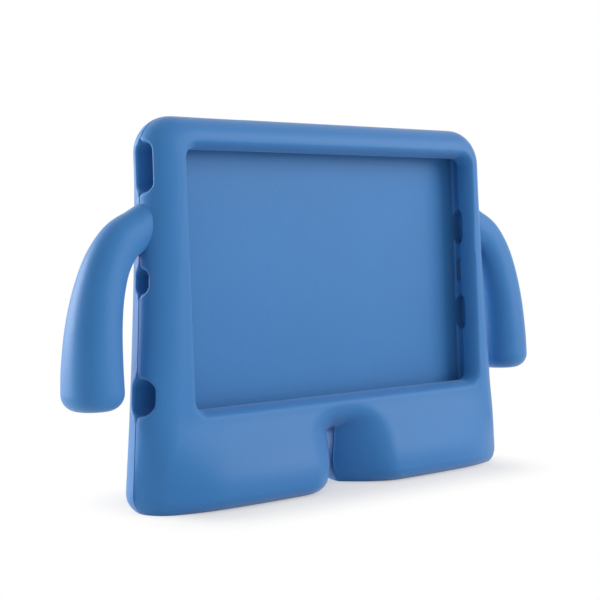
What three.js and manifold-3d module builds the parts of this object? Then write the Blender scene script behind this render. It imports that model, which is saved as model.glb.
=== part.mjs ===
// A children's carry case, moulded in one piece from closed-cell foam: a picture-frame body
// round a flat pocket, two thick legs that it stands on, and two curved arms to hold it by.
// Millimetres. The shape is drawn in the case's own plane (x to the right, y towards the back,
// z up, with the middle of the pocket's front plane at 0, 0, 0), then leaned back and stood on the floor.
import * as THREE from "three";
import { mergeVertices } from "three/addons/utils/BufferGeometryUtils.js";
import Module from "manifold-3d";

// The pocket, and the lip that holds what is in it
const pocketLength = 201;
const pocketHeight = 135.6;
const pocketDepth = 7.6;
const pocketCorner = 8;
const lipLeft = 11.5;
const lipRight = 3.6;
const lipTopAndBottom = 7.2;
const lipEdge = 1;
const windowCorner = 5;

// Foam round the pocket
const sideWall = 9.1;
const topWall = 8.3;
const backWall = 8.4;
const frontRise = 8.5;
const topCorner = 17.5;
const frontRound = 16;
const backRound = 11;
const footBackRound = 6;
const wallRun = 4;
const wallPower = 1.75;
const roundPower = 2.1;

// The parting plane of the mould runs through the middle of the pocket
const partingDepth = pocketDepth / 2;

// Legs
const legDrop = 38.2;
const legFlare = 10.4;
const flareRise = 117;
const flarePower = 1.35;
const legFrontBulge = 10;
const legBackBulge = 0.6;
const legBulgeRise = 36;
const legMiddle = 50;
const legCrownFade = 92;
const legFrontRound = 40;
const legRoundPower = 2;
const legOuterCorner = 13;
const soleRound = 7.5;
const soleTrim = 3;
const leanDegrees = 3.3;

// The slit between the legs
const slitHeight = 29.5;
const slitCrotchRadius = 2.6;
const slitNeckHalfWidth = 1.1;
const slitNeckHeight = 11;
const slitFootRadius = 17.5;
const slitFrontEdge = { round: 26.5, above: 14 };
const slitBackEdge = { round: 4.5, above: 3.5, power: 2 };
const slitLand = 0.5;

// Arms: how far the middle of the arm stands off the body's side, and its height, from root to hand
const armRootHeight = 24.5;
const armRootHalfHeight = 9.6;
const armRootHalfDepth = 7.2;
const armHandHalfWidth = 13.6;
const armHandHalfDepth = 15;
const armStandOff = 26.6;
const armLength = 81.5;
const armRootSink = 9;
const armHandRound = 8;
const armRootSetBack = 0.2;
const armSetBack = 4.2;
const armPower = 2.2;

// Openings to the pocket's edges
const buttonSlot = { height: 52.1, length: 24.8, width: 9.9, forward: 1.75 };
const microphoneHole = { height: 0, length: 13, width: 8.6, forward: 0.6 };
const jackHole = { height: -52.6, length: 19.5, width: 12.6, forward: 1.5 };
const soundScoop = { height: 23.5, length: 20, width: 9.8, forward: 1.1, sink: 4.5 };
const chargingSlot = { height: 0, length: 15, width: 7.2, forward: 0 };
const volumeSlot = { fromLeft: 34, length: 34, width: 9, forward: -1.8 };
const cameraHole = { fromEdges: 11, radius: 7, backRadius: 9.5 };
const cutClearance = 3;

// Facets
const sideSteps = 14;
const topSteps = 16;
const cornerSteps = 7;
const bottomSteps = 42;
const armSteps = 22;
const armFacets = 20;
const holeFacets = 8;

// Sizes that follow
const lean = THREE.MathUtils.degToRad(leanDegrees);
const bodyHalfWidth = pocketLength / 2 + sideWall;
const bodyTop = pocketHeight / 2 + topWall;
const soleHeight = -(pocketHeight / 2 + legDrop);
const bodyBottom = soleHeight - soleTrim;
const backDepth = pocketDepth + backWall;
const windowLeft = -pocketLength / 2 + lipLeft;
const windowRight = pocketLength / 2 - lipRight;
const windowHalfHeight = pocketHeight / 2 - lipTopAndBottom;
const slitNeck = soleHeight + slitNeckHeight;
const slitCrotch = soleHeight + slitHeight - slitCrotchRadius;
const flareTop = soleHeight + flareRise + legDrop;
const footTop = soleHeight + 0.14 * legDrop;
const legBulgeTop = -windowHalfHeight - lipEdge;

const wasm = await Module();
wasm.setup();

const clamp01 = (t) => THREE.MathUtils.clamp(t, 0, 1);
const smooth01 = (t) => THREE.MathUtils.smoothstep(t, 0, 1);

// Rise of a rounded edge, from 0 at its foot to 1 where it has run its length.
function roundRise(distance, run, power) {
  return (1 - clamp01(1 - distance / run) ** power) ** (1 / power);
}

// How far down the flare a height lies, from 0 at its top to 1 at the feet.
function flareShare(z) {
  return clamp01((flareTop - z) / (flareTop - footTop));
}

// Half the body's width at a height: straight at the top, spreading towards the feet.
function halfWidthAt(z) {
  return bodyHalfWidth + legFlare * flareShare(z) ** flarePower;
}

// How far a point of the case's plane lies inside the body's outline.
function outlineDepth(x, z) {
  const middle = (bodyTop + bodyBottom) / 2;
  const radius = z > middle ? topCorner : legOuterCorner;
  const squared = (x * bodyHalfWidth) / halfWidthAt(z);
  const acrossCorner = Math.abs(squared) - (bodyHalfWidth - radius);
  const alongCorner = Math.abs(z - middle) - ((bodyTop - bodyBottom) / 2 - radius);
  const outside = Math.hypot(Math.max(acrossCorner, 0), Math.max(alongCorner, 0));
  return radius - outside - Math.min(Math.max(acrossCorner, alongCorner), 0);
}

// Half the slit's width at a height: a neck between a round crotch and two rounded feet.
function slitHalfWidthAt(z) {
  if (z < slitNeck) {
    const down = Math.min(slitNeck - z, slitFootRadius);
    return slitNeckHalfWidth + slitFootRadius - Math.sqrt(slitFootRadius ** 2 - down ** 2);
  }
  const up = smooth01((z - slitNeck) / (slitCrotch - slitNeck));
  return THREE.MathUtils.lerp(slitNeckHalfWidth, slitCrotchRadius, up);
}

// Rise beside and above the slit: a rounded edge where a power is given, or else an even slope.
function slitRise(x, z, edge) {
  const aside = Math.max(Math.abs(x) - slitHalfWidthAt(Math.min(z, slitCrotch)), 0);
  const above = Math.max(z - slitCrotch, 0);
  const reach = clamp01(Math.hypot(aside / edge.round, above / edge.above));
  return edge.power ? roundRise(reach, 1, edge.power) : Math.sin((reach * Math.PI) / 2);
}

// How much of the leg's shape a height has: none at the window, all of it near the floor.
function legShare(z) {
  return smooth01((legBulgeTop - z) / legBulgeRise);
}

// How full each leg is at a point: most at the middle of the leg's width, near the floor.
function legFullness(x, z) {
  const aside = (Math.abs(x) - legMiddle) / legCrownFade;
  return legShare(z) * (1 - aside * aside);
}

// Height of the moulding over the parting plane at a point, from its rounded edges to `full`.
function mouldingHeight(x, z, full, outlineRound, slitEdge) {
  return full * roundRise(outlineDepth(x, z), outlineRound, roundPower) * slitRise(x, z, slitEdge);
}

// The wide rounding from a leg's front to its side, as a share of the full height.
function legSideRise(x, z) {
  const rise = roundRise(halfWidthAt(z) - Math.abs(x), legFrontRound, legRoundPower);
  return THREE.MathUtils.lerp(1, rise, legShare(z));
}

// How far a point of the case's plane lies outside the window.
function windowDistance(x, z) {
  const acrossCorner =
    Math.abs(x - (windowLeft + windowRight) / 2) - ((windowRight - windowLeft) / 2 - windowCorner);
  const alongCorner = Math.abs(z) - (windowHalfHeight - windowCorner);
  const outside = Math.hypot(Math.max(acrossCorner, 0), Math.max(alongCorner, 0));
  return outside + Math.min(Math.max(acrossCorner, alongCorner), 0) - windowCorner;
}

// Depth of the front surface: the frame's crown, rounded down to the lip's edge at the window.
function frontDepthAt(x, z) {
  const bulging = frontRise + partingDepth + legFrontBulge * legFullness(x, z);
  const full = bulging * legSideRise(x, z);
  const fromWindow = Math.max(windowDistance(x, z), 0);
  const dome = Math.min(frontRound, outlineDepth(x, z) + fromWindow - wallRun);
  const round = THREE.MathUtils.lerp(dome, soleRound, legShare(z));
  const crown = mouldingHeight(x, z, full, round, slitFrontEdge) - partingDepth;
  const wall = roundRise(fromWindow, wallRun, wallPower);
  return Math.min(-THREE.MathUtils.lerp(lipEdge, crown, wall), partingDepth - slitLand);
}

function backDepthAt(x, z) {
  const full = backDepth - partingDepth + legBackBulge * legFullness(x, z);
  const round = THREE.MathUtils.lerp(backRound, footBackRound, flareShare(z));
  return partingDepth + Math.max(mouldingHeight(x, z, full, round, slitBackEdge), slitLand);
}

// Points round a rounded rectangle, the same number for any size, closer together at the slit.
function roundedLoop(left, right, bottom, top, lowerRadius, upperRadius) {
  const points = [];
  const side = (from, to, steps, crowd = 1) => {
    for (let i = 0; i < steps; i++) {
      const t = (2 * i) / steps - 1;
      const even = (Math.sign(t) * Math.abs(t) ** crowd + 1) / 2;
      points.push(new THREE.Vector2().lerpVectors(from, to, even));
    }
  };
  const corner = (cx, cz, radius, startAngle) => {
    for (let i = 0; i < cornerSteps; i++) {
      const angle = startAngle + (i / cornerSteps) * (Math.PI / 2);
      points.push(new THREE.Vector2(cx + radius * Math.cos(angle), cz + radius * Math.sin(angle)));
    }
  };
  const at = (x, z) => new THREE.Vector2(x, z);
  side(at(right, bottom + lowerRadius), at(right, top - upperRadius), sideSteps);
  corner(right - upperRadius, top - upperRadius, upperRadius, 0);
  side(at(right - upperRadius, top), at(left + upperRadius, top), topSteps);
  corner(left + upperRadius, top - upperRadius, upperRadius, Math.PI / 2);
  side(at(left, top - upperRadius), at(left, bottom + lowerRadius), sideSteps);
  corner(left + lowerRadius, bottom + lowerRadius, lowerRadius, Math.PI);
  side(at(left + lowerRadius, bottom), at(right - lowerRadius, bottom), bottomSteps, 1.6);
  corner(right - lowerRadius, bottom + lowerRadius, lowerRadius, (3 * Math.PI) / 2);
  return points;
}

// A closed skin over a row of rings with equally many points, with a flat cap on each end ring.
function loft(rings) {
  const around = rings[0].length;
  const index = [];
  for (let r = 0; r + 1 < rings.length; r++) {
    for (let i = 0; i < around; i++) {
      const j = (i + 1) % around;
      const [a, b] = [r * around + i, r * around + j];
      const [c, d] = [b + around, a + around];
      const acrossAC = rings[r][i].distanceTo(rings[r + 1][j]);
      const acrossBD = rings[r][j].distanceTo(rings[r + 1][i]);
      index.push(...(acrossAC <= acrossBD ? [a, b, c, a, c, d] : [a, b, d, b, c, d]));
    }
  }
  const cap = (ring, offset, flip) => {
    const normal = new THREE.Vector3();
    ring.forEach((p, i) => normal.add(p.clone().cross(ring[(i + 1) % around])));
    const across = ring[0].clone().sub(ring[Math.floor(around / 2)]).normalize();
    const along = normal.normalize().clone().cross(across);
    const flat = ring.map((p) => new THREE.Vector2(p.dot(across), p.dot(along)));
    for (const [a, b, c] of THREE.ShapeUtils.triangulateShape(flat, [])) {
      index.push(...(flip ? [a, c, b] : [a, b, c]).map((v) => v + offset));
    }
  };
  cap(rings[0], 0, true);
  cap(rings.at(-1), (rings.length - 1) * around, false);
  const positions = rings.flat().flatMap((p) => [p.x, p.y, p.z]);
  return new THREE.BufferGeometry()
    .setAttribute("position", new THREE.Float32BufferAttribute(positions, 3))
    .setIndex(index);
}

// A closed geometry as a solid that can be joined and cut.
function solid(geometry) {
  const bare = geometry.clone().deleteAttribute("normal").deleteAttribute("uv");
  const merged = mergeVertices(bare, 1e-4);
  return new wasm.Manifold(
    new wasm.Mesh({
      numProp: 3,
      vertProperties: merged.attributes.position.array,
      triVerts: new Uint32Array(merged.index.array),
    }),
  );
}

// Shapes are drawn in y and z to run along x, in x and z to run along y, and in x and y to run along z.
const unitX = new THREE.Vector3(1, 0, 0);
const unitY = new THREE.Vector3(0, 1, 0);
const unitZ = new THREE.Vector3(0, 0, 1);
const drawnAcross = {
  x: new THREE.Matrix4().makeBasis(unitY, unitZ, unitX),
  y: new THREE.Matrix4().makeBasis(unitX, unitZ, unitY.clone().negate()),
  z: new THREE.Matrix4(),
};

// A straight-sided solid of that shape, from one place to another along an axis.
function prism(shape, axis, from, to) {
  const geometry = new THREE.ExtrudeGeometry(shape, {
    depth: to - from,
    bevelEnabled: false,
    curveSegments: holeFacets,
  });
  geometry.translate(0, 0, axis === "y" ? -to : from);
  return solid(geometry.applyMatrix4(drawnAcross[axis]));
}

function roundedRectangle(left, right, bottom, top, radius) {
  const shape = new THREE.Shape();
  shape.absarc(right - radius, top - radius, radius, 0, Math.PI / 2);
  shape.absarc(left + radius, top - radius, radius, Math.PI / 2, Math.PI);
  shape.absarc(left + radius, bottom + radius, radius, Math.PI, 1.5 * Math.PI);
  shape.absarc(right - radius, bottom + radius, radius, 1.5 * Math.PI, 2 * Math.PI);
  return shape;
}

// A slot with round ends, drawn about a middle point, `wide` by `high`.
function slotShape(middleX, middleY, wide, high) {
  const radius = Math.min(wide, high) / 2 - 0.01;
  return roundedRectangle(
    middleX - wide / 2,
    middleX + wide / 2,
    middleY - high / 2,
    middleY + high / 2,
    radius,
  );
}

// Body: rings from the back, round the parting line and over the front to the window's edge.
function bodyShell() {
  const windowLoop = roundedLoop(
    windowLeft,
    windowRight,
    -windowHalfHeight,
    windowHalfHeight,
    windowCorner,
    windowCorner,
  );
  const outline = roundedLoop(
    -bodyHalfWidth,
    bodyHalfWidth,
    bodyBottom,
    bodyTop,
    legOuterCorner,
    topCorner,
  ).map((p) => new THREE.Vector2((p.x * halfWidthAt(p.y)) / bodyHalfWidth, p.y));

  // Rings between the window and the outline: over the lip's wall, across, and round the outer edge
  const ring = (depthAt, outlineRound, zone, share) =>
    windowLoop.map((start, i) => {
      const end = outline[i];
      const reach = start.distanceTo(end);
      const wall = Math.min(wallRun, reach / 2);
      const round = Math.min(outlineRound, reach - wall);
      const distance = {
        wall: wall * share,
        across: wall + (reach - round - wall) * share,
        edge: reach - round * (1 - Math.sin((share * Math.PI) / 2)),
      }[zone];
      const p = start.clone().lerp(end, distance / reach);
      return new THREE.Vector3(p.x, depthAt(p.x, p.y), p.y);
    });
  const frontRing = (zone, share) => ring(frontDepthAt, frontRound, zone, share);
  const backRing = (zone, share) => ring(backDepthAt, backRound, zone, share);
  const flatRing = (loop, depth) => loop.map((p) => new THREE.Vector3(p.x, depth, p.y));
  return solid(
    loft([
      flatRing(windowLoop, backDepth),
      ...[0.3, 0.65, 1].map((share) => backRing("across", share)),
      ...[0.2, 0.4, 0.6, 0.78, 0.92].map((share) => backRing("edge", share)),
      flatRing(outline, partingDepth),
      ...[0.92, 0.78, 0.6, 0.4, 0.2].map((share) => frontRing("edge", share)),
      ...[1, 0.75, 0.52, 0.36, 0.24, 0.12, 0].map((share) => frontRing("across", share)),
      ...[0.7, 0.42, 0.2, 0.06].map((share) => frontRing("wall", share)),
      flatRing(windowLoop, -lipEdge),
      flatRing(windowLoop, pocketDepth / 4),
    ]),
  );
}

// An arm on the left: it leaves the side, turns down and widens to a blunt hand.
function armSolid() {
  const rootX = -(bodyHalfWidth - armRootSink);
  const handX = -(bodyHalfWidth + armStandOff);
  const handZ = armRootHeight - armLength;
  const line = new THREE.CatmullRomCurve3(
    [
      [rootX, 0, armRootHeight + armRootSink * 0.62],
      [-bodyHalfWidth - 1.5, 0, armRootHeight - 0.5],
      [THREE.MathUtils.lerp(-bodyHalfWidth, handX, 0.41), 0, armRootHeight - armLength * 0.075],
      [THREE.MathUtils.lerp(-bodyHalfWidth, handX, 0.67), 0, armRootHeight - armLength * 0.19],
      [THREE.MathUtils.lerp(-bodyHalfWidth, handX, 0.84), 0, armRootHeight - armLength * 0.34],
      [THREE.MathUtils.lerp(-bodyHalfWidth, handX, 0.95), 0, armRootHeight - armLength * 0.53],
      [handX, 0, armRootHeight - armLength * 0.77],
      [handX, 0, handZ],
    ].map((p) => new THREE.Vector3(...p)),
  );
  const section = (share, shrink) => {
    const middle = line.getPointAt(share);
    const ahead = line.getTangentAt(share);
    const outward = new THREE.Vector3(ahead.z, 0, -ahead.x);
    const grown = smooth01(share);
    const halfWidth = THREE.MathUtils.lerp(armRootHalfHeight, armHandHalfWidth, grown) - shrink;
    const halfDepth = THREE.MathUtils.lerp(armRootHalfDepth, armHandHalfDepth, grown) - shrink;
    const setBack = THREE.MathUtils.lerp(armRootSetBack, armSetBack, grown);
    const depth = partingDepth + setBack;
    return Array.from({ length: armFacets }, (_, i) => {
      const angle = (i / armFacets) * 2 * Math.PI;
      const [c, s] = [Math.cos(angle), Math.sin(angle)];
      const across = Math.sign(c) * Math.abs(c) ** (2 / armPower) * halfWidth;
      const deep = Math.sign(s) * Math.abs(s) ** (2 / armPower) * halfDepth;
      return middle.clone().addScaledVector(outward, across).setY(depth + deep);
    });
  };
  const length = line.getLength();
  const rings = [];
  const straightEnd = 1 - armHandRound / length;
  for (let i = 0; i < armSteps; i++) {
    rings.push(section((straightEnd * i) / (armSteps - 1), 0));
  }
  for (const turn of [0.25, 0.5, 0.75, 1]) {
    const angle = (turn * Math.PI) / 2;
    rings.push(
      section(straightEnd + (armHandRound / length) * Math.sin(angle), armHandRound * (1 - Math.cos(angle))),
    );
  }
  return solid(loft(rings));
}

// The slit: from below the feet up to the round crotch.
function slitCut() {
  const steps = 12;
  const edge = Array.from({ length: steps + 1 }, (_, i) => {
    const z = THREE.MathUtils.lerp(bodyBottom, slitCrotch, i / steps);
    return new THREE.Vector2(slitHalfWidthAt(z), z);
  });
  const below = bodyBottom - cutClearance;
  const shape = new THREE.Shape();
  shape.moveTo(-edge[0].x, below);
  shape.lineTo(edge[0].x, below);
  edge.forEach((p) => shape.lineTo(p.x, p.y));
  shape.absarc(0, slitCrotch, slitCrotchRadius, 0, Math.PI);
  edge.reverse().forEach((p) => shape.lineTo(-p.x, p.y));
  return prism(shape, "y", partingDepth - bodyTop, partingDepth + bodyTop);
}

// An opening through the left wall, from inside the pocket to just outside the body.
function leftCut(slot) {
  const shape = slotShape(partingDepth - slot.forward, slot.height, slot.width, slot.length);
  return prism(shape, "x", -halfWidthAt(slot.height) - cutClearance, 1 - pocketLength / 2);
}

// An opening in the right wall, from the window's edge outwards as far as `reach`.
function rightCut(slot, reach) {
  const shape = slotShape(partingDepth - slot.forward, slot.height, slot.width, slot.length);
  return prism(shape, "x", windowRight - 1, reach);
}

function volumeCut() {
  const middle = -pocketLength / 2 + volumeSlot.fromLeft;
  const shape = slotShape(middle, partingDepth - volumeSlot.forward, volumeSlot.length, volumeSlot.width);
  return prism(shape, "z", pocketHeight / 2 - 1, bodyTop + cutClearance);
}

function cameraCut() {
  const [near, far] = [pocketDepth - 1, backDepth + 1];
  const profile = [
    new THREE.Vector2(0, near),
    new THREE.Vector2(cameraHole.radius, near),
    new THREE.Vector2(cameraHole.backRadius, far),
    new THREE.Vector2(0, far),
  ];
  const geometry = new THREE.LatheGeometry(profile, 4 * holeFacets);
  const x = -pocketLength / 2 + cameraHole.fromEdges;
  const z = pocketHeight / 2 - cameraHole.fromEdges;
  return solid(geometry.translate(x, 0, z));
}

function pocketCut() {
  const [halfLength, halfHeight] = [pocketLength / 2, pocketHeight / 2];
  return prism(
    roundedRectangle(-halfLength, halfLength, -halfHeight, halfHeight, pocketCorner),
    "y",
    0,
    pocketDepth,
  );
}

// What lies below the floor once the case leans back.
function floorCut() {
  const size = 4 * bodyHalfWidth;
  const geometry = new THREE.BoxGeometry(size, size, size);
  geometry.translate(0, 0, soleHeight * Math.cos(lean) - size / 2);
  return solid(geometry.rotateX(lean));
}

function caseSolid() {
  const arm = armSolid();
  const cuts = [
    pocketCut(),
    slitCut(),
    floorCut(),
    leftCut(buttonSlot),
    leftCut(microphoneHole),
    leftCut(jackHole),
    rightCut(chargingSlot, halfWidthAt(chargingSlot.height) + cutClearance),
    rightCut(soundScoop, pocketLength / 2 + soundScoop.sink),
    rightCut({ ...soundScoop, height: -soundScoop.height }, pocketLength / 2 + soundScoop.sink),
    volumeCut(),
    cameraCut(),
  ];
  const whole = bodyShell().add(arm).add(arm.mirror([1, 0, 0]));
  return cuts.reduce((left, cut) => left.subtract(cut), whole);
}

function geometryOf(manifold) {
  const mesh = manifold.getMesh();
  return new THREE.BufferGeometry()
    .setAttribute("position", new THREE.BufferAttribute(mesh.vertProperties, 3))
    .setIndex(new THREE.BufferAttribute(mesh.triVerts, 1))
    .toNonIndexed();
}

const foam = new THREE.MeshStandardMaterial({ color: 0x4a83bf, roughness: 0.55, metalness: 0 });

const caseBody = new THREE.Mesh(geometryOf(caseSolid()), foam);
caseBody.name = "case_body";
caseBody.geometry.computeVertexNormals();
caseBody.rotation.x = -lean;

// It stands on the floor, with the origin below the middle of its width and depth.
const extent = new THREE.Box3().setFromObject(caseBody, true);
caseBody.position.y = -(extent.min.y + extent.max.y) / 2;
caseBody.position.z = -soleHeight * Math.cos(lean);

const carryCase = new THREE.Group();
carryCase.name = "carry_case";
carryCase.add(caseBody);

export default carryCase;
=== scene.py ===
"""A children's carry case for a small tablet computer, moulded in one piece from closed-cell foam.

The shape is drawn in the case's own plane: x to the right, y towards the back, z up, with the
middle of the pocket's front plane at 0, 0, 0. It is then leaned back and stood on the floor.
"""

import bpy
import math
import numpy as np
from mathutils import Euler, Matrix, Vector
from mathutils.bvhtree import BVHTree


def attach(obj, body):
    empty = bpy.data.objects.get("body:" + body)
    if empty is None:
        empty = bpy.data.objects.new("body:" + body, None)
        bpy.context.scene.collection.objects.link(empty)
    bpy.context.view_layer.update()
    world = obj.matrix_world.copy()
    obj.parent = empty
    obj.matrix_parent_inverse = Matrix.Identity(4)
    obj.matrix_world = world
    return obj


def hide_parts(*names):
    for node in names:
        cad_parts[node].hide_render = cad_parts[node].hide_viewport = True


bl_info = {
    "name": "Foam Carry Case",
    "version": (1, 0, 0),
    "blender": (4, 5, 0),
    "location": "3D View > Sidebar > Foam Case",
    "description": "Builds a moulded foam carry case with two feet and two arms",
    "category": "Add Mesh",
}

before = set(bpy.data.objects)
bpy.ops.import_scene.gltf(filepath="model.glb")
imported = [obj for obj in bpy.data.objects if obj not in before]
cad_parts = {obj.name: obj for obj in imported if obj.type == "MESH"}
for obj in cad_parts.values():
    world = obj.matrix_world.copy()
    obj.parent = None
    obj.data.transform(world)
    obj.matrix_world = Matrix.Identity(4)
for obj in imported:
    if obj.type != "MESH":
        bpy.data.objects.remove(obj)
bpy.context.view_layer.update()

MM = 0.001
CASE_NODE = "case_body"

# Lean of the case's own plane, and how far back it stands over the floor, in millimetres
LEAN = math.radians(3.3)
SHIFT_BACK = 2.1474541

# Openings, in millimetres in the case's own plane. Forward is measured from the parting line.
# Left wall: name, height over the middle, length, width, forward
LEFT_HOLES = (
    ("button_slot", 52.1, 24.8, 10.8, 1.9),
    ("microphone_hole", 0.0, 13.0, 9.2, 0.9),
    ("jack_hole", -52.6, 19.0, 13.8, 1.9),
)
CHARGING_LENGTH, CHARGING_WIDTH = 15.0, 7.2
VOLUME_FROM_LEFT, VOLUME_LENGTH, VOLUME_WIDTH, VOLUME_BACKWARD = 34.0, 34.0, 9.0, 1.8
CAMERA_FROM_CORNER, CAMERA_WIDTH, CAMERA_FACETS = 11.0, 14.0, 12
SCOOP_HEIGHTS = (23.5, -23.5)
SCOOP_LENGTH, SCOOP_WIDTH, SCOOP_FORWARD, SCOOP_DEPTH = 20.0, 9.8, 1.1, 4.5
POCKET_CORNER, POCKET_FLOOR_ROUND = 8.0, 1.6

# Arms, in millimetres: where they start and reach, and half the width and depth of root and hand
ARM_HEIGHT, ARM_STAND_OFF, ARM_LENGTH, ARM_SINK = 24.5, 26.6, 81.5, 9.0
ARM_ROOT, ARM_HAND = (9.6, 7.2), (13.6, 15.0)
ARM_ROOT_BACK, ARM_HAND_BACK = 0.2, 4.2
ARM_HAND_ROUND, ARM_SECTION_POWER = 8.0, 2.2

# Parting groove: half its height in millimetres, and where its sides steepen, as a share of that.
# Where it meets an opening, the opening's rim is notched: half the notch's height in millimetres,
# and how much wider the rim is there, as a share of its rounding.
GROOVE_HALF_HEIGHT = 0.36
GROOVE_MIDDLE = 0.45
NOTCH_HALF_HEIGHT = 0.7
NOTCH_SHARE = 1.1

# Edges that are shaded sharp turn by more than this
SHARP_ANGLE = math.radians(38)

# Camera of the photograph: place in metres, turn in degrees, focal length in millimetres
CAMERA_PLACE = (-0.46239, -0.51994, 0.13820)
CAMERA_TURN = (86.2824, -0.0117, -40.3291)
CAMERA_FOCAL, CAMERA_SENSOR = 82.91, 36.0

# Studio lights: name, azimuth and elevation in degrees, distance and size in metres, watts
STUDIO_LIGHTS = (
    ("left_softbox", -142, 12, 1.3, 0.8, 17.0),
    ("front_softbox", 42, 22, 1.9, 1.1, 20.0),
)
LIGHT_AIM = Vector((0, 0, 0.09))

# Floor: half the size of the part that keeps the whole shadow, the width over which it fades
# to white, and the share of white under the case, as the camera sees it
SHADOW_HALF_SIZE = (0.09, 0.018, 0)
SHADOW_FADE = 0.045
SHADOW_WHITE = 0.36

# World: strength at the horizon and high up, and the height at which it is reached
WORLD_LOW, WORLD_HIGH, WORLD_HEIGHT = 0.16, 0.66, 0.45

# Facets of the fine surface
SIDE_STEPS = 64
TOP_STEPS = 84
CORNER_STEPS = 16
BOTTOM_STEPS = 190
ARM_STEPS = 90
ARM_FACETS = 72
ROUND_FACETS = 14
RIM_STEPS = 6
POCKET_FACETS = 10


class FoamCaseSizes(bpy.types.PropertyGroup):
    pocket_length: bpy.props.FloatProperty(
        name="Pocket length", description="Inside length of the pocket", default=0.201, unit="LENGTH")
    pocket_height: bpy.props.FloatProperty(
        name="Pocket height", description="Inside height of the pocket", default=0.1356, unit="LENGTH")
    pocket_depth: bpy.props.FloatProperty(
        name="Pocket depth", description="Depth of the pocket behind the lip", default=0.0076, unit="LENGTH")
    leg_drop: bpy.props.FloatProperty(
        name="Leg drop", description="Height of the legs below the pocket", default=0.0382, unit="LENGTH")
    side_wall: bpy.props.FloatProperty(
        name="Side wall", description="Foam beside the pocket", default=0.0091, unit="LENGTH")
    top_wall: bpy.props.FloatProperty(
        name="Top wall", description="Foam above the pocket", default=0.0083, unit="LENGTH")
    back_wall: bpy.props.FloatProperty(
        name="Back wall", description="Foam behind the pocket", default=0.0084, unit="LENGTH")
    front_rise: bpy.props.FloatProperty(
        name="Front rise", description="Height of the frame in front of the pocket", default=0.0085,
        unit="LENGTH")
    rim_round: bpy.props.FloatProperty(
        name="Rim round", description="Rounding of the openings' rims", default=0.0017, unit="LENGTH")
    seam_depth: bpy.props.FloatProperty(
        name="Seam depth", description="Depth of the groove at the mould's parting line",
        default=0.0011, unit="LENGTH")


class FoamCaseFinish(bpy.types.PropertyGroup):
    foam_color: bpy.props.FloatVectorProperty(
        name="Foam colour", description="Colour of the foam", subtype="COLOR", size=3, min=0, max=1,
        default=(0.023, 0.160, 0.425))
    foam_pale: bpy.props.FloatVectorProperty(
        name="Pale foam colour", description="Colour of the foam's paler clouds", subtype="COLOR",
        size=3, min=0, max=1, default=(0.037, 0.198, 0.500))
    floor_color: bpy.props.FloatVectorProperty(
        name="Floor colour", description="Colour of the studio floor", subtype="COLOR", size=3,
        min=0, max=1, default=(0.92, 0.885, 0.855))


def clamp01(t):
    return np.clip(t, 0.0, 1.0)


def smooth01(t):
    t = clamp01(t)
    return t * t * (3 - 2 * t)


def mix(a, b, t):
    return a + (b - a) * t


def round_rise(distance, run, power):
    """Rise of a rounded edge, from 0 at its foot to 1 where it has run its length."""
    return (1 - clamp01(1 - distance / run) ** power) ** (1 / power)


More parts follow.
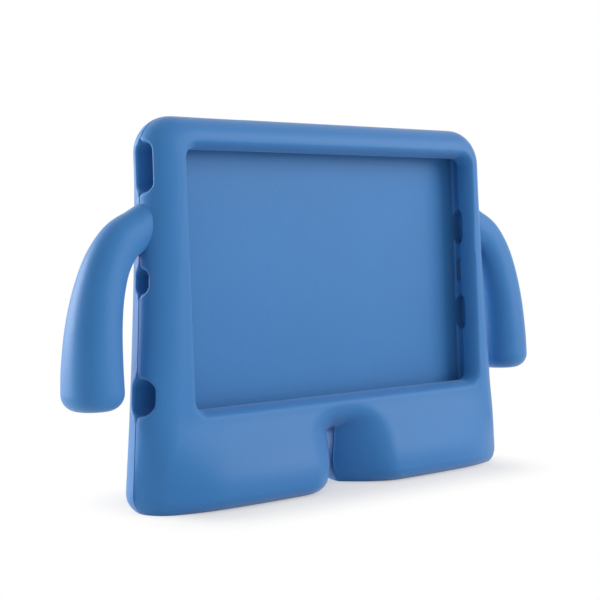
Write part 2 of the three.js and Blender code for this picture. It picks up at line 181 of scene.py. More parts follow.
class CaseShape:
    """The case's surfaces, in millimetres, as functions of a place in its plane."""

    def __init__(self, sizes):
        self.pocket_length = sizes.pocket_length / MM
        self.pocket_height = sizes.pocket_height / MM
        self.pocket_depth = sizes.pocket_depth / MM
        self.side_wall = sizes.side_wall / MM
        self.top_wall = sizes.top_wall / MM
        self.back_wall = sizes.back_wall / MM
        self.front_rise = sizes.front_rise / MM
        self.rim_round = sizes.rim_round / MM
        self.seam_depth = sizes.seam_depth / MM
        leg_drop = sizes.leg_drop / MM
        self.shift_back = SHIFT_BACK

        self.parting = self.pocket_depth / 2
        self.half_width = self.pocket_length / 2 + self.side_wall
        self.top = self.pocket_height / 2 + self.top_wall
        self.sole = -(self.pocket_height / 2 + leg_drop)
        self.bottom = self.sole - 3.0
        self.back = self.pocket_depth + self.back_wall
        self.window_left = -self.pocket_length / 2 + 11.5
        self.window_right = self.pocket_length / 2 - 3.6
        self.window_half_height = self.pocket_height / 2 - 7.2
        self.window_corner = 5.0
        self.lip_edge = 1.0
        self.wall_run = 4.0
        self.wall_power = 1.75
        self.top_corner = 17.5
        self.foot_corner = 13.0
        self.front_round = 16.0
        self.sole_round = 7.5
        self.back_round = 11.0
        self.foot_back_round = 6.0
        self.round_power = 2.1
        self.leg_flare = 10.4
        self.flare_power = 1.35
        self.flare_top = self.sole + 117 + leg_drop
        self.foot_top = self.sole + 0.14 * leg_drop
        self.leg_bulge_top = -self.window_half_height - self.lip_edge
        self.leg_bulge_rise = 36.0
        self.leg_front_bulge = 10.0
        self.leg_back_bulge = 0.6
        self.leg_middle = 50.0
        self.leg_crown_fade = 92.0
        self.leg_front_round = 40.0
        self.leg_round_power = 2.0
        self.slit_crotch_radius = 2.6
        self.slit_neck_half_width = 1.1
        self.slit_neck = self.sole + 11.0
        self.slit_foot_radius = 17.5
        self.slit_crotch = self.sole + 29.5 - self.slit_crotch_radius
        self.slit_front_edge = (26.5, 14.0, None)
        self.slit_back_edge = (4.5, 3.5, 2.0)
        self.slit_land = 0.5

    def flare_share(self, z):
        return clamp01((self.flare_top - z) / (self.flare_top - self.foot_top))

    def half_width_at(self, z):
        return self.half_width + self.leg_flare * self.flare_share(z) ** self.flare_power

    def outline_depth(self, x, z):
        middle = (self.top + self.bottom) / 2
        radius = np.where(z > middle, self.top_corner, self.foot_corner)
        squared = np.abs(x) * self.half_width / self.half_width_at(z)
        across = squared - (self.half_width - radius)
        along = np.abs(z - middle) - ((self.top - self.bottom) / 2 - radius)
        outside = np.hypot(np.maximum(across, 0), np.maximum(along, 0))
        return radius - outside - np.minimum(np.maximum(across, along), 0)

    def slit_half_width_at(self, z):
        down = np.clip(self.slit_neck - z, 0, self.slit_foot_radius)
        foot = self.slit_foot_radius - np.sqrt(self.slit_foot_radius ** 2 - down ** 2)
        up = smooth01((z - self.slit_neck) / (self.slit_crotch - self.slit_neck))
        crotch = mix(self.slit_neck_half_width, self.slit_crotch_radius, up)
        return np.where(z < self.slit_neck, self.slit_neck_half_width + foot, crotch)

    def slit_rise(self, x, z, edge):
        run, above_run, power = edge
        aside = np.maximum(np.abs(x) - self.slit_half_width_at(np.minimum(z, self.slit_crotch)), 0)
        above = np.maximum(z - self.slit_crotch, 0)
        reach = clamp01(np.hypot(aside / run, above / above_run))
        return round_rise(reach, 1, power) if power else np.sin(reach * math.pi / 2)

    def leg_share(self, z):
        return smooth01((self.leg_bulge_top - z) / self.leg_bulge_rise)

    def leg_fullness(self, x, z):
        aside = (np.abs(x) - self.leg_middle) / self.leg_crown_fade
        return self.leg_share(z) * (1 - aside * aside)

    def moulding(self, x, z, full, outline_round, slit_edge):
        edge = round_rise(self.outline_depth(x, z), outline_round, self.round_power)
        return full * edge * self.slit_rise(x, z, slit_edge)

    def window_distance(self, x, z):
        middle = (self.window_left + self.window_right) / 2
        across = np.abs(x - middle) - ((self.window_right - self.window_left) / 2 - self.window_corner)
        along = np.abs(z) - (self.window_half_height - self.window_corner)
        outside = np.hypot(np.maximum(across, 0), np.maximum(along, 0))
        return outside + np.minimum(np.maximum(across, along), 0) - self.window_corner

    def front_depth(self, x, z):
        full = self.front_rise + self.parting + self.leg_front_bulge * self.leg_fullness(x, z)
        side = round_rise(self.half_width_at(z) - np.abs(x), self.leg_front_round, self.leg_round_power)
        full = full * mix(1.0, side, self.leg_share(z))
        from_window = np.maximum(self.window_distance(x, z), 0)
        dome = np.minimum(self.front_round, self.outline_depth(x, z) + from_window - self.wall_run)
        edge = mix(dome, self.sole_round, self.leg_share(z))
        crown = self.moulding(x, z, full, edge, self.slit_front_edge) - self.parting
        wall = round_rise(from_window, self.wall_run, self.wall_power)
        return np.minimum(-mix(self.lip_edge, crown, wall), self.parting - self.slit_land)

    def back_depth(self, x, z):
        full = self.back - self.parting + self.leg_back_bulge * self.leg_fullness(x, z)
        edge = mix(self.back_round, self.foot_back_round, self.flare_share(z))
        rise = self.moulding(x, z, full, edge, self.slit_back_edge)
        return self.parting + np.maximum(rise, self.slit_land)

    def to_floor(self, points):
        """Case plane, in millimetres, to the part's frame, in metres."""
        x, y, z = points[:, 0], points[:, 1], points[:, 2]
        c, s = math.cos(LEAN), math.sin(LEAN)
        return np.stack([x, y * c + z * s + self.shift_back, -y * s + z * c - self.sole * c], 1) * MM


def rounded_loop(left, right, bottom, top, lower_radius, upper_radius):
    """Points round a rounded rectangle, the same number for any size, closer together at the slit."""
    points = []

    def side(start, end, steps, crowd=1.0):
        t = 2 * np.arange(steps) / steps - 1
        even = (np.sign(t) * np.abs(t) ** crowd + 1) / 2
        start, end = np.array(start), np.array(end)
        points.append(start + (end - start) * even[:, None])

    def corner(cx, cz, radius, start_angle):
        angle = start_angle + np.arange(CORNER_STEPS) / CORNER_STEPS * math.pi / 2
        points.append(np.stack([cx + radius * np.cos(angle), cz + radius * np.sin(angle)], 1))

    side((right, bottom + lower_radius), (right, top - upper_radius), SIDE_STEPS)
    corner(right - upper_radius, top - upper_radius, upper_radius, 0)
    side((right - upper_radius, top), (left + upper_radius, top), TOP_STEPS)
    corner(left + upper_radius, top - upper_radius, upper_radius, math.pi / 2)
    side((left, top - upper_radius), (left, bottom + lower_radius), SIDE_STEPS)
    corner(left + lower_radius, bottom + lower_radius, lower_radius, math.pi)
    side((left + lower_radius, bottom), (right - lower_radius, bottom), BOTTOM_STEPS, 1.5)
    corner(right - lower_radius, bottom + lower_radius, lower_radius, 1.5 * math.pi)
    return np.concatenate(points)


def slot_loop(cx, cy, wide, high, steps=ROUND_FACETS, radius=None):
    """A slot with round ends about a middle point, as a closed loop with its outward normals."""
    radius = min(wide, high) / 2 - 0.005 if radius is None else radius
    straight = 6
    loop, normals = [], []
    for k, (sx, sy) in enumerate(((1, 1), (-1, 1), (-1, -1), (1, -1))):
        ax, ay = cx + sx * (wide / 2 - radius), cy + sy * (high / 2 - radius)
        for i in range(steps + 1):
            a = (k + i / steps) * math.pi / 2
            loop.append((ax + radius * math.cos(a), ay + radius * math.sin(a)))
            normals.append((math.cos(a), math.sin(a)))
        nx, ny = ((-1, 1), (-1, -1), (1, -1), (1, 1))[k]
        end_a = (k + 1) * math.pi / 2
        start = np.array(loop[-1])
        bx, by = cx + nx * (wide / 2 - radius), cy + ny * (high / 2 - radius)
        end = np.array((bx + radius * math.cos(end_a), by + radius * math.sin(end_a)))
        if np.linalg.norm(end - start) > 0.5:
            for i in range(1, straight):
                loop.append(tuple(start + (end - start) * i / straight))
                normals.append((math.cos(end_a), math.sin(end_a)))
    return np.array(loop), np.array(normals)


def ring_mesh(name, rings, shape, cap_start=True, cap_end=True):
    """A closed skin over a row of rings with equally many points."""
    around = len(rings[0])
    verts = shape.to_floor(np.concatenate(rings))
    faces = []
    for r in range(len(rings) - 1):
        a = r * around
        for i in range(around):
            j = (i + 1) % around
            faces.append((a + i, a + j, a + j + around, a + i + around))
    if cap_start:
        faces.append(tuple(reversed(range(around))))
    if cap_end:
        faces.append(tuple(range(len(verts) - around, len(verts))))
    mesh = bpy.data.meshes.new(name)
    mesh.from_pydata([tuple(v) for v in verts], [], faces)
    mesh.validate()
    obj = bpy.data.objects.new(name, mesh)
    bpy.context.scene.collection.objects.link(obj)
    turn_outward(obj)
    return obj


def turn_outward(obj):
    """Flips a closed mesh whose faces point inward."""
    mesh = obj.data
    mesh.calc_loop_triangles()
    co = np.array([v.co[:] for v in mesh.vertices])
    tri = np.array([t.vertices[:] for t in mesh.loop_triangles])
    volume = np.einsum("ij,ij->i", co[tri[:, 0]], np.cross(co[tri[:, 1]], co[tri[:, 2]])).sum()
    if volume < 0:
        mesh.flip_normals()


def body_shell(shape):
    """The body's outer skin: back, parting groove, front and the wall down to the lip."""
    half = shape.window_half_height
    window = rounded_loop(shape.window_left, shape.window_right, -half, half,
                          shape.window_corner, shape.window_corner)
    outline = rounded_loop(-shape.half_width, shape.half_width, shape.bottom, shape.top,
                           shape.foot_corner, shape.top_corner)
    outline[:, 0] *= shape.half_width_at(outline[:, 1]) / shape.half_width
    reach = np.linalg.norm(outline - window, axis=1)
    inward = (window - outline) / reach[:, None]

    def flat(loop, depth):
        return np.stack([loop[:, 0], np.full(len(loop), depth), loop[:, 1]], 1)

    def ring(depth_at, outline_round, zone, share):
        wall = np.minimum(shape.wall_run, reach / 2)
        edge = np.minimum(outline_round, reach - wall)
        distance = {
            "wall": wall * share,
            "across": wall + (reach - edge - wall) * share,
            "edge": reach - edge * (1 - math.sin(share * math.pi / 2)),
        }[zone]
        p = window + (outline - window) * (distance / reach)[:, None]
        return np.stack([p[:, 0], depth_at(p[:, 0], p[:, 1]), p[:, 1]], 1)

    middle = np.array([(shape.window_left + shape.window_right) / 2, 0.0])
    rings = []
    for share in (0.04, 0.2, 0.4, 0.6, 0.8):
        rings.append(flat(middle + (window - middle) * share, shape.back))
    for share in np.linspace(0, 1, 11):
        rings.append(ring(shape.back_depth, shape.back_round, "across", share))
    edge_shares = (0.1, 0.2, 0.3, 0.4, 0.5, 0.6, 0.69, 0.77, 0.84, 0.9, 0.945, 0.975)
    for share in edge_shares:
        rings.append(ring(shape.back_depth, shape.back_round, "edge", share))
    for height, inset in ((1, 0.0), (GROOVE_MIDDLE, 0.4), (0, 1.0), (-GROOVE_MIDDLE, 0.4), (-1, 0.0)):
        groove = outline + inward * inset * shape.seam_depth
        rings.append(flat(groove, shape.parting + GROOVE_HALF_HEIGHT * height))
    for share in reversed(edge_shares):
        rings.append(ring(shape.front_depth, shape.front_round, "edge", share))
    for share in np.linspace(1, 0, 19):
        rings.append(ring(shape.front_depth, shape.front_round, "across", share))
    for share in (0.85, 0.7, 0.56, 0.43, 0.32, 0.22, 0.14, 0.08, 0.03):
        rings.append(ring(shape.front_depth, shape.front_round, "wall", share))
    rings.append(flat(window, -shape.lip_edge * 0.85))
    rings.append(flat(window, shape.pocket_depth / 4))
    rings.append(flat(middle + (window - middle) * 0.5, shape.pocket_depth / 4))
    return ring_mesh("shell", rings, shape)


def arm_path(shape):
    """Middle line of the left arm, from inside the body's side to the hand, as dense points."""
    side = -shape.half_width
    hand = side - ARM_STAND_OFF
    bend = ((0.41, 0.075), (0.67, 0.19), (0.84, 0.34), (0.95, 0.53), (1.0, 0.77), (1.0, 1.0))
    knots = [(side + ARM_SINK, ARM_HEIGHT + ARM_SINK * 0.62), (side - 1.5, ARM_HEIGHT - 0.5)]
    knots += [(mix(side, hand, out), ARM_HEIGHT - ARM_LENGTH * down) for out, down in bend]
    return centripetal_curve(np.array(knots))


def centripetal_curve(knots, per_span=60):
    """A smooth curve through the knots, as an evenly spaced row of points."""
    first = 2 * knots[0] - knots[1]
    last = 2 * knots[-1] - knots[-2]
    p = np.vstack([first, knots, last])
    out = []
    for i in range(1, len(p) - 2):
        p0, p1, p2, p3 = p[i - 1:i + 3]
        d1, d2, d3 = (np.linalg.norm(b - a) ** 0.5 for a, b in ((p0, p1), (p1, p2), (p2, p3)))
        m1 = (p1 - p0) / d1 - (p2 - p0) / (d1 + d2) + (p2 - p1) / d2
        m2 = (p2 - p1) / d2 - (p3 - p1) / (d2 + d3) + (p3 - p2) / d3
        m1, m2 = m1 * d2, m2 * d2
        t = np.linspace(0, 1, per_span, endpoint=False)[:, None]
        a = 2 * p1 - 2 * p2 + m1 + m2
        b = -3 * p1 + 3 * p2 - 2 * m1 - m2
        out.append(a * t ** 3 + b * t ** 2 + m1 * t + p1)
    out.append(knots[-1:])
    dense = np.vstack(out)
    gaps = np.linalg.norm(np.diff(dense, axis=0), axis=1)
    along = np.concatenate([[0], np.cumsum(gaps)])
    even = np.linspace(0, along[-1], 600)
    return np.stack([np.interp(even, along, dense[:, k]) for k in (0, 1)], 1), along[-1]


def arm(shape, side):
    """One arm: it leaves the body's side, turns down and widens to a blunt hand."""
    path, length = arm_path(shape)
    ahead = np.gradient(path, axis=0)
    ahead /= np.linalg.norm(ahead, axis=1)[:, None]
    straight_end = 1 - ARM_HAND_ROUND / length
    stations = [(s, 0.0) for s in np.linspace(0, straight_end, ARM_STEPS)]
    for turn in np.linspace(0, 1, 12)[1:]:
        angle = turn * math.pi / 2
        stations.append((straight_end + ARM_HAND_ROUND / length * math.sin(angle),
                         ARM_HAND_ROUND * (1 - math.cos(angle))))
    angle = np.arange(ARM_FACETS) / ARM_FACETS * 2 * math.pi
    c, s = np.cos(angle), np.sin(angle)
    flat_c = np.sign(c) * np.abs(c) ** (2 / ARM_SECTION_POWER)
    flat_s = np.sign(s) * np.abs(s) ** (2 / ARM_SECTION_POWER)
    rings = []
    for share, shrink in stations:
        k = share * (len(path) - 1)
        middle = np.array([np.interp(k, np.arange(len(path)), path[:, i]) for i in (0, 1)])
        tangent = np.array([np.interp(k, np.arange(len(path)), ahead[:, i]) for i in (0, 1)])
        outward = np.array([tangent[1], -tangent[0]])
        grown = smooth01(share)
        width = mix(ARM_ROOT[0], ARM_HAND[0], grown) - shrink
        depth = mix(ARM_ROOT[1], ARM_HAND[1], grown) - shrink
        y = shape.parting + mix(ARM_ROOT_BACK, ARM_HAND_BACK, grown) + flat_s * depth
        xz = middle + outward * (flat_c * width)[:, None]
        rings.append(np.stack([-side * xz[:, 0], y, xz[:, 1]], 1))
    return ring_mesh("arm", rings, shape)


def surface_reader(obj):
    """Reads where a ray meets the object's surface, in metres."""
    mesh = obj.data
    mesh.calc_loop_triangles()
    tree = BVHTree.FromPolygons([v.co[:] for v in mesh.vertices],
                                [t.vertices[:] for t in mesh.loop_triangles])

    def read(start, direction):
        return tree.ray_cast(Vector(start), Vector(direction))[0]

    return read


def from_floor(shape, p):
    """The part's frame, in metres, to the case plane, in millimetres."""
    c, s = math.cos(LEAN), math.sin(LEAN)
    y, z = p[1] / MM - shape.shift_back, p[2] / MM + shape.sole * c
    return np.array([p[0] / MM, y * c - z * s, y * s + z * c])


def rimmed_cutter(name, shape, read, loop, normals, axis, outward, inner, notch=True):
    """A cutter for an opening along an axis, flared at the body's surface to round the rim.

    loop is in the two other axes of the case plane; outward is +1 or -1; inner is where it starts.
    """
    others = [k for k in range(3) if k != axis]
    seam = 0
    if 1 in others and notch:
        off_seam = (loop[:, others.index(1)] - shape.parting) / NOTCH_HALF_HEIGHT
        seam = np.exp(-off_seam ** 2)

    def surface_at(point):
        start = np.zeros(3)
        start[others] = point
        start[axis] = outward * 200
        way = np.zeros(3)
        way[axis] = -outward
        pair = shape.to_floor(np.array([start, start + way]))
        direction = pair[1] - pair[0]
        hit = read(pair[0], direction / np.linalg.norm(direction))
        return None if hit is None else from_floor(shape, hit)[axis]

    def ring(spread, level):
        pts = np.zeros((len(loop), 3))
        pts[:, others] = loop + normals * spread[:, None]
        pts[:, axis] = level
        return pts

    r = shape.rim_round
    loop = loop - normals * 0.5 * r
    reach = r * (1 + NOTCH_SHARE * seam) * np.ones(len(loop))
    rings = [ring(np.zeros(len(loop)), inner)]
    levels = []
    turns = np.linspace(0, math.pi / 2, RIM_STEPS)
    for phi in turns:
        spread = reach * (1 - math.cos(phi))
        heights = [surface_at(p) for p in loop + normals * spread[:, None]]
        known = [h for h in heights if h is not None]
        heights = np.array([min(known, key=abs) if h is None else h for h in heights])
        levels.append(heights - outward * reach * (1 - math.sin(phi)))
    for phi, level in zip(turns, levels):
        rings.append(ring(reach * (1 - math.cos(phi)), level))
    rings.append(ring(reach + 0.5, levels[-1] + outward * 0.6))
    rings.append(ring(reach + 0.5, np.full(len(loop), outward * (np.abs(levels[-1]).max() + 1.5))))
    return ring_mesh(name, rings, shape)


def plain_cutter(name, shape, loop, axis, start, end, bulges=()):
    """A straight cutter along an axis; bulges are pairs of place and spread along it."""
    others = [k for k in range(3) if k != axis]
    normals = np.roll(loop, -1, 0) - np.roll(loop, 1, 0)
    normals = np.stack([normals[:, 1], -normals[:, 0]], 1)
    normals /= np.linalg.norm(normals, axis=1)[:, None] + 1e-9
    rings = []
    for level, spread in ((start, 0.0), *bulges, (end, 0.0)):
        pts = np.zeros((len(loop), 3))
        pts[:, others] = loop + normals * spread
        pts[:, axis] = level
        rings.append(pts)
    return ring_mesh(name, rings, shape)


def slit_loop(shape):
    z = np.linspace(shape.bottom, shape.slit_crotch, 60)
    edge = np.stack([shape.slit_half_width_at(z), z], 1)
    angle = np.linspace(0, math.pi, 25)[1:-1]
    radius = shape.slit_crotch_radius
    crotch = np.stack([radius * np.cos(angle), shape.slit_crotch + radius * np.sin(angle)], 1)
    below = shape.bottom - 3
    left = edge[::-1] * np.array([-1, 1])
    return np.vstack([[(-edge[0, 0], below), (edge[0, 0], below)], edge, crotch, left])


def pocket_cutter(shape):
    half_length, half_height = shape.pocket_length / 2, shape.pocket_height / 2
    steps = [(-0.02, 0.0), (shape.pocket_depth - POCKET_FLOOR_ROUND, 0.0)]
    for turn in np.linspace(0, 1, 7)[1:]:
        a = turn * math.pi / 2
        steps.append((shape.pocket_depth - POCKET_FLOOR_ROUND * (1 - math.sin(a)),
                      POCKET_FLOOR_ROUND * (1 - math.cos(a))))
    rings = []
    for depth, inset in steps:
        loop, _ = slot_loop(0, 0, 2 * (half_length - inset), 2 * (half_height - inset),
                            POCKET_FACETS, POCKET_CORNER - inset)
        rings.append(np.stack([loop[:, 0], np.full(len(loop), depth), loop[:, 1]], 1))
    return ring_mesh("pocket_cut", rings, shape)


def floor_cutter():
    """What lies below the floor."""
    bpy.ops.mesh.primitive_cube_add(size=1, location=(0, 0, -0.05))
    obj = bpy.context.object
    obj.name = "floor_cut"
    obj.scale = (1, 1, 0.1)
    bpy.ops.object.transform_apply(location=True, rotation=False, scale=True)
    return obj


def combine(base, tool, operation):
    """Joins or cuts and removes the tool."""
    modifier = base.modifiers.new("combine", "BOOLEAN")
    modifier.object = tool
    modifier.operation = operation
    modifier.solver = "MANIFOLD"
    bpy.context.view_layer.update()
    evaluated = base.evaluated_get(bpy.context.evaluated_depsgraph_get())
    mesh = bpy.data.meshes.new_from_object(evaluated)
    base.modifiers.clear()
    if not len(mesh.polygons):
        raise RuntimeError("the solid is empty after " + tool.name)
    base.data = mesh
    bpy.data.objects.remove(tool)


def case_mesh(shape):
    body = body_shell(shape)
    read = surface_reader(body)
    combine(body, arm(shape, -1), "UNION")
    combine(body, arm(shape, 1), "UNION")
    inside = shape.pocket_length / 2 - 1
    left = []
    for name, height, length, width, forward in LEFT_HOLES:
        loop, normals = slot_loop(shape.parting - forward, height, width, length)
        left.append(rimmed_cutter(name, shape, read, loop, normals, 0, -1, -inside))
    loop, normals = slot_loop(shape.parting, 0.0, CHARGING_WIDTH, CHARGING_LENGTH)
    charging = rimmed_cutter("charging_slot", shape, read, loop, normals, 0, 1, shape.window_right - 1)
    volume_middle = -shape.pocket_length / 2 + VOLUME_FROM_LEFT
    loop, normals = slot_loop(volume_middle, shape.parting + VOLUME_BACKWARD, VOLUME_LENGTH, VOLUME_WIDTH)
    volume = rimmed_cutter("volume_slot", shape, read, loop, normals, 2, 1, shape.pocket_height / 2 - 1)
    camera_x = -shape.pocket_length / 2 + CAMERA_FROM_CORNER
    camera_z = shape.pocket_height / 2 - CAMERA_FROM_CORNER
    loop, normals = slot_loop(camera_x, camera_z, CAMERA_WIDTH, CAMERA_WIDTH, CAMERA_FACETS)
    camera = rimmed_cutter("camera_hole", shape, read, loop, normals, 1, 1, shape.pocket_depth - 1,
                           notch=False)
    scoops = []
    for height in SCOOP_HEIGHTS:
        loop, _ = slot_loop(shape.parting - SCOOP_FORWARD, height, SCOOP_WIDTH, SCOOP_LENGTH)
        scoops.append(plain_cutter("sound_scoop", shape, loop, 0, shape.window_right - 1,
                                   shape.pocket_length / 2 + SCOOP_DEPTH))
    seam = [(shape.parting + d, s * shape.seam_depth)
            for d, s in ((-0.4, 0.0), (-0.2, 0.4), (0, 1.0), (0.2, 0.4), (0.4, 0.0))]
    slit = plain_cutter("slit_cut", shape, slit_loop(shape), 1, -60, 60, seam)
    for tool in (pocket_cutter(shape), slit, *left, charging, volume, camera, *scoops, floor_cutter()):
        combine(body, tool, "DIFFERENCE")
    return body


def weigh_normals(body):
    """Lets the larger faces lead the shading, so that no streaks run from the small rims."""
    modifier = body.modifiers.new("normals", "WEIGHTED_NORMAL")
    modifier.mode = "FACE_AREA"
    modifier.keep_sharp = True
    bpy.context.view_layer.update()
    mesh = bpy.data.meshes.new_from_object(body.evaluated_get(bpy.context.evaluated_depsgraph_get()))
    body.modifiers.clear()
    body.data = mesh


def node(tree, kind, place, **values):
    made = tree.nodes.new(kind)
    made.location = place
    for key, value in values.items():
        if key in made.inputs.keys():
            made.inputs[key].default_value = value
        else:
            setattr(made, key, value)
    return made


def foam_grain_group():
    """Closed-cell foam skin: pale clouds, fine cells and shallow dimples."""
    tree = bpy.data.node_groups.new("foam_grain", "ShaderNodeTree")
    face = tree.interface
    face.new_socket("Cloud Scale", in_out="INPUT", socket_type="NodeSocketFloat").default_value = 18
    face.new_socket("Cell Scale", in_out="INPUT", socket_type="NodeSocketFloat").default_value = 1500
    face.new_socket("Cloud", in_out="OUTPUT", socket_type="NodeSocketFloat")
    face.new_socket("Cells", in_out="OUTPUT", socket_type="NodeSocketFloat")
    face.new_socket("Height", in_out="OUTPUT", socket_type="NodeSocketFloat")
    link = tree.links.new
    group_in = node(tree, "NodeGroupInput", (-900, 0))
    group_out = node(tree, "NodeGroupOutput", (500, 0))
    coords = node(tree, "ShaderNodeTexCoord", (-900, -300))
    cloud = node(tree, "ShaderNodeTexNoise", (-600, 200), Detail=3.0, Roughness=0.55)
    cells = node(tree, "ShaderNodeTexVoronoi", (-600, -100), Randomness=1.0)
    fine = node(tree, "ShaderNodeTexNoise", (-600, -400), Scale=420.0, Detail=2.0, Roughness=0.6)
    for texture in (cloud, cells, fine):
        link(coords.outputs["Object"], texture.inputs["Vector"])
    link(group_in.outputs["Cloud Scale"], cloud.inputs["Scale"])
    link(group_in.outputs["Cell Scale"], cells.inputs["Scale"])
    height = node(tree, "ShaderNodeMath", (-200, -200), operation="MULTIPLY_ADD")
    height.inputs[1].default_value = 0.5
    link(cells.outputs["Distance"], height.inputs[0])
    link(fine.outputs["Fac"], height.inputs[2])
    link(cloud.outputs["Fac"], group_out.inputs["Cloud"])
    link(cells.outputs["Distance"], group_out.inputs["Cells"])
    link(height.outputs[0], group_out.inputs["Height"])
    return tree


def foam_material(finish):
    material = bpy.data.materials.new("blue_foam")
    material.use_nodes = True
    tree = material.node_tree
    link = tree.links.new
    skin = tree.nodes["Principled BSDF"]
    skin.inputs["IOR"].default_value = 1.45
    skin.inputs["Specular IOR Level"].default_value = 0.32
    skin.inputs["Sheen Weight"].default_value = 0.18
    skin.inputs["Sheen Roughness"].default_value = 0.5
    grain = node(tree, "ShaderNodeGroup", (-900, 0))
    grain.node_tree = bpy.data.node_groups["foam_grain"]
    color = node(tree, "ShaderNodeMix", (-500, 200), data_type="RGBA")
    color.inputs["A"].default_value = (*finish.foam_color, 1)
    color.inputs["B"].default_value = (*finish.foam_pale, 1)
    link(grain.outputs["Cloud"], color.inputs["Factor"])
    link(color.outputs["Result"], skin.inputs["Base Color"])
    rough = node(tree, "ShaderNodeMapRange", (-500, -100))
    rough.inputs["To Min"].default_value = 0.40
    rough.inputs["To Max"].default_value = 0.52
    link(grain.outputs["Cloud"], rough.inputs["Value"])
    link(rough.outputs["Result"], skin.inputs["Roughness"])
    bump = node(tree, "ShaderNodeBump", (-300, -350), Strength=0.25, Distance=0.0002)
    link(grain.outputs["Height"], bump.inputs["Height"])
    link(bump.outputs["Normal"], skin.inputs["Normal"])
    return material


class CASE_OT_body(bpy.types.Operator):
    """Builds the moulded case: frame, pocket, feet, arms and openings"""
    bl_idname = "foam_case.body"
    bl_label = "Moulded case"

    def execute(self, context):
        shape = CaseShape(context.scene.foam_case_sizes)
        body = case_mesh(shape)
        body.name = "foam_case"
        body.data.materials.clear()
        if "foam_grain" not in bpy.data.node_groups:
            foam_grain_group()
        body.data.materials.append(foam_material(context.scene.foam_case_finish))
        body.data.polygons.foreach_set("material_index", np.zeros(len(body.data.polygons), np.int32))
        body.data.shade_smooth()
        body.data.set_sharp_from_angle(angle=SHARP_ANGLE)
        weigh_normals(body)
        body.data.name = "foam_case"
        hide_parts(CASE_NODE)
        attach(body, "root")
        return {"FINISHED"}


class CASE_OT_studio(bpy.types.Operator):
    """Sets up the camera, the pale floor and the soft studio lights"""
    bl_idname = "foam_case.studio"
    bl_label = "Studio"

    def execute(self, context):
        scene = context.scene
        scene.view_settings.view_transform = "Standard"
        camera_data = bpy.data.cameras.new("camera")
        camera_data.sensor_width = CAMERA_SENSOR
        camera_data.lens = CAMERA_FOCAL
        camera_data.clip_end = 100
        camera = bpy.data.objects.new("camera", camera_data)
        camera.location = CAMERA_PLACE
        camera.rotation_euler = Euler([math.radians(a) for a in CAMERA_TURN])
        scene.collection.objects.link(camera)
        scene.camera = camera
        make_floor(scene)
        make_world(scene)
        for name, azimuth, elevation, distance, size, energy in STUDIO_LIGHTS:
            add_light(scene, name, azimuth, elevation, distance, size, energy)
        return {"FINISHED"}


def add_light(scene, name, azimuth, elevation, distance, size, energy):
    data = bpy.data.lights.new(name, "AREA")
    data.shape = "SQUARE"
    data.size = size
    data.energy = energy
    light = bpy.data.objects.new(name, data)
    a, e = math.radians(azimuth), math.radians(elevation)
    way = Vector((math.sin(a) * math.cos(e), -math.cos(a) * math.cos(e), math.sin(e)))
    light.location = LIGHT_AIM + way * distance
    light.rotation_euler = (-way).to_track_quat("-Z", "Y").to_euler()
    scene.collection.objects.link(light)


def background_rays(tree, x, y):
    """Is 1 for camera, glossy and transmission rays, which meet the white background."""
    path = node(tree, "ShaderNodeLightPath", (x, y))
    direct = node(tree, "ShaderNodeMath", (x + 200, y), operation="MAXIMUM")
    every = node(tree, "ShaderNodeMath", (x + 400, y), operation="MAXIMUM")
    tree.links.new(path.outputs["Is Camera Ray"], direct.inputs[0])
    tree.links.new(path.outputs["Is Glossy Ray"], direct.inputs[1])
    tree.links.new(direct.outputs[0], every.inputs[0])
    tree.links.new(path.outputs["Is Transmission Ray"], every.inputs[1])
    return every.outputs[0]


def make_floor(scene):
    bpy.ops.mesh.primitive_circle_add(vertices=96, radius=12, fill_type="NGON", location=(0, 0, 0))
    floor = bpy.context.object
    floor.name = "floor"
    material = bpy.data.materials.new("pale_floor")
    material.use_nodes = True
    tree = material.node_tree
    link = tree.links.new
    out = tree.nodes["Material Output"]
    paint = tree.nodes["Principled BSDF"]
    paint.inputs["Base Color"].default_value = (*scene.foam_case_finish.floor_color, 1)
    paint.inputs["Roughness"].default_value = 0.9
    paint.inputs["Specular IOR Level"].default_value = 0.1
    white = node(tree, "ShaderNodeEmission", (-100, -300), Strength=1.0)
    coords = node(tree, "ShaderNodeTexCoord", (-1700, -300))
    aside = node(tree, "ShaderNodeVectorMath", (-1500, -300), operation="ABSOLUTE")
    beyond = node(tree, "ShaderNodeVectorMath", (-1300, -300), operation="SUBTRACT")
    beyond.inputs[1].default_value = SHADOW_HALF_SIZE
    outside = node(tree, "ShaderNodeVectorMath", (-1100, -300), operation="MAXIMUM")
    length = node(tree, "ShaderNodeVectorMath", (-900, -300), operation="LENGTH")
    far = node(tree, "ShaderNodeMapRange", (-700, -300), interpolation_type="SMOOTHSTEP")
    far.inputs["From Min"].default_value = 0.0
    far.inputs["From Max"].default_value = SHADOW_FADE
    far.inputs["To Min"].default_value = SHADOW_WHITE
    seen = node(tree, "ShaderNodeMath", (-500, -450), operation="MULTIPLY")
    blend = node(tree, "ShaderNodeMixShader", (100, 0))
    link(coords.outputs["Object"], aside.inputs[0])
    link(aside.outputs[0], beyond.inputs[0])
    link(beyond.outputs[0], outside.inputs[0])
    link(outside.outputs[0], length.inputs[0])
    link(length.outputs["Value"], far.inputs["Value"])
    link(far.outputs["Result"], seen.inputs[0])
    link(background_rays(tree, -1100, -600), seen.inputs[1])
    link(seen.outputs[0], blend.inputs["Fac"])
    link(paint.outputs[0], blend.inputs[1])
    link(white.outputs[0], blend.inputs[2])
    link(blend.outputs[0], out.inputs["Surface"])
    floor.data.materials.append(material)


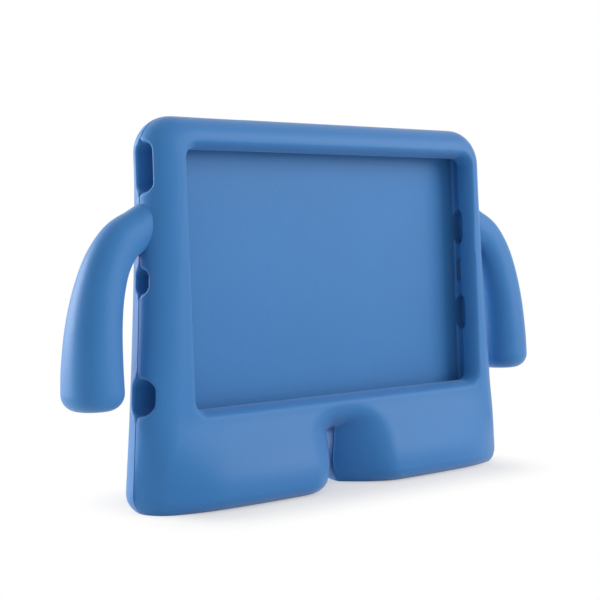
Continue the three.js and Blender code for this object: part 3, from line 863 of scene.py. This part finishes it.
def make_world(scene):
    world = bpy.data.worlds.new("studio")
    scene.world = world
    world.use_nodes = True
    tree = world.node_tree
    tree.nodes.clear()
    link = tree.links.new
    out = node(tree, "ShaderNodeOutputWorld", (400, 0))
    coords = node(tree, "ShaderNodeTexCoord", (-800, 200))
    up = node(tree, "ShaderNodeSeparateXYZ", (-600, 200))
    glow = node(tree, "ShaderNodeMapRange", (-400, 200), interpolation_type="SMOOTHSTEP")
    glow.inputs["From Min"].default_value = 0.0
    glow.inputs["From Max"].default_value = WORLD_HEIGHT
    glow.inputs["To Min"].default_value = WORLD_LOW
    glow.inputs["To Max"].default_value = WORLD_HIGH
    fill = node(tree, "ShaderNodeBackground", (0, 100), Color=(1, 1, 1, 1))
    white = node(tree, "ShaderNodeBackground", (0, -100), Color=(1, 1, 1, 1), Strength=1.0)
    blend = node(tree, "ShaderNodeMixShader", (200, 0))
    link(coords.outputs["Generated"], up.inputs[0])
    link(up.outputs["Z"], glow.inputs["Value"])
    link(glow.outputs["Result"], fill.inputs["Strength"])
    link(background_rays(tree, -600, -200), blend.inputs["Fac"])
    link(fill.outputs[0], blend.inputs[1])
    link(white.outputs[0], blend.inputs[2])
    link(blend.outputs[0], out.inputs["Surface"])


class CASE_PT_panel(bpy.types.Panel):
    bl_idname = "CASE_PT_panel"
    bl_label = "Foam Case"
    bl_space_type = "VIEW_3D"
    bl_region_type = "UI"
    bl_category = "Foam Case"

    def draw(self, context):
        layout = self.layout
        for operator in OPERATORS:
            layout.operator(operator.bl_idname)
        for group in (context.scene.foam_case_sizes, context.scene.foam_case_finish):
            for name in group.__annotations__:
                layout.prop(group, name)


OPERATORS = (CASE_OT_body, CASE_OT_studio)
CLASSES = (FoamCaseSizes, FoamCaseFinish, *OPERATORS, CASE_PT_panel)


def register():
    for cls in CLASSES:
        bpy.utils.register_class(cls)
    bpy.types.Scene.foam_case_sizes = bpy.props.PointerProperty(type=FoamCaseSizes)
    bpy.types.Scene.foam_case_finish = bpy.props.PointerProperty(type=FoamCaseFinish)


def unregister():
    del bpy.types.Scene.foam_case_finish
    del bpy.types.Scene.foam_case_sizes
    for cls in reversed(CLASSES):
        bpy.utils.unregister_class(cls)


def main():
    register()
    bpy.ops.foam_case.body()
    bpy.ops.foam_case.studio()


if __name__ == "__main__":
    main()
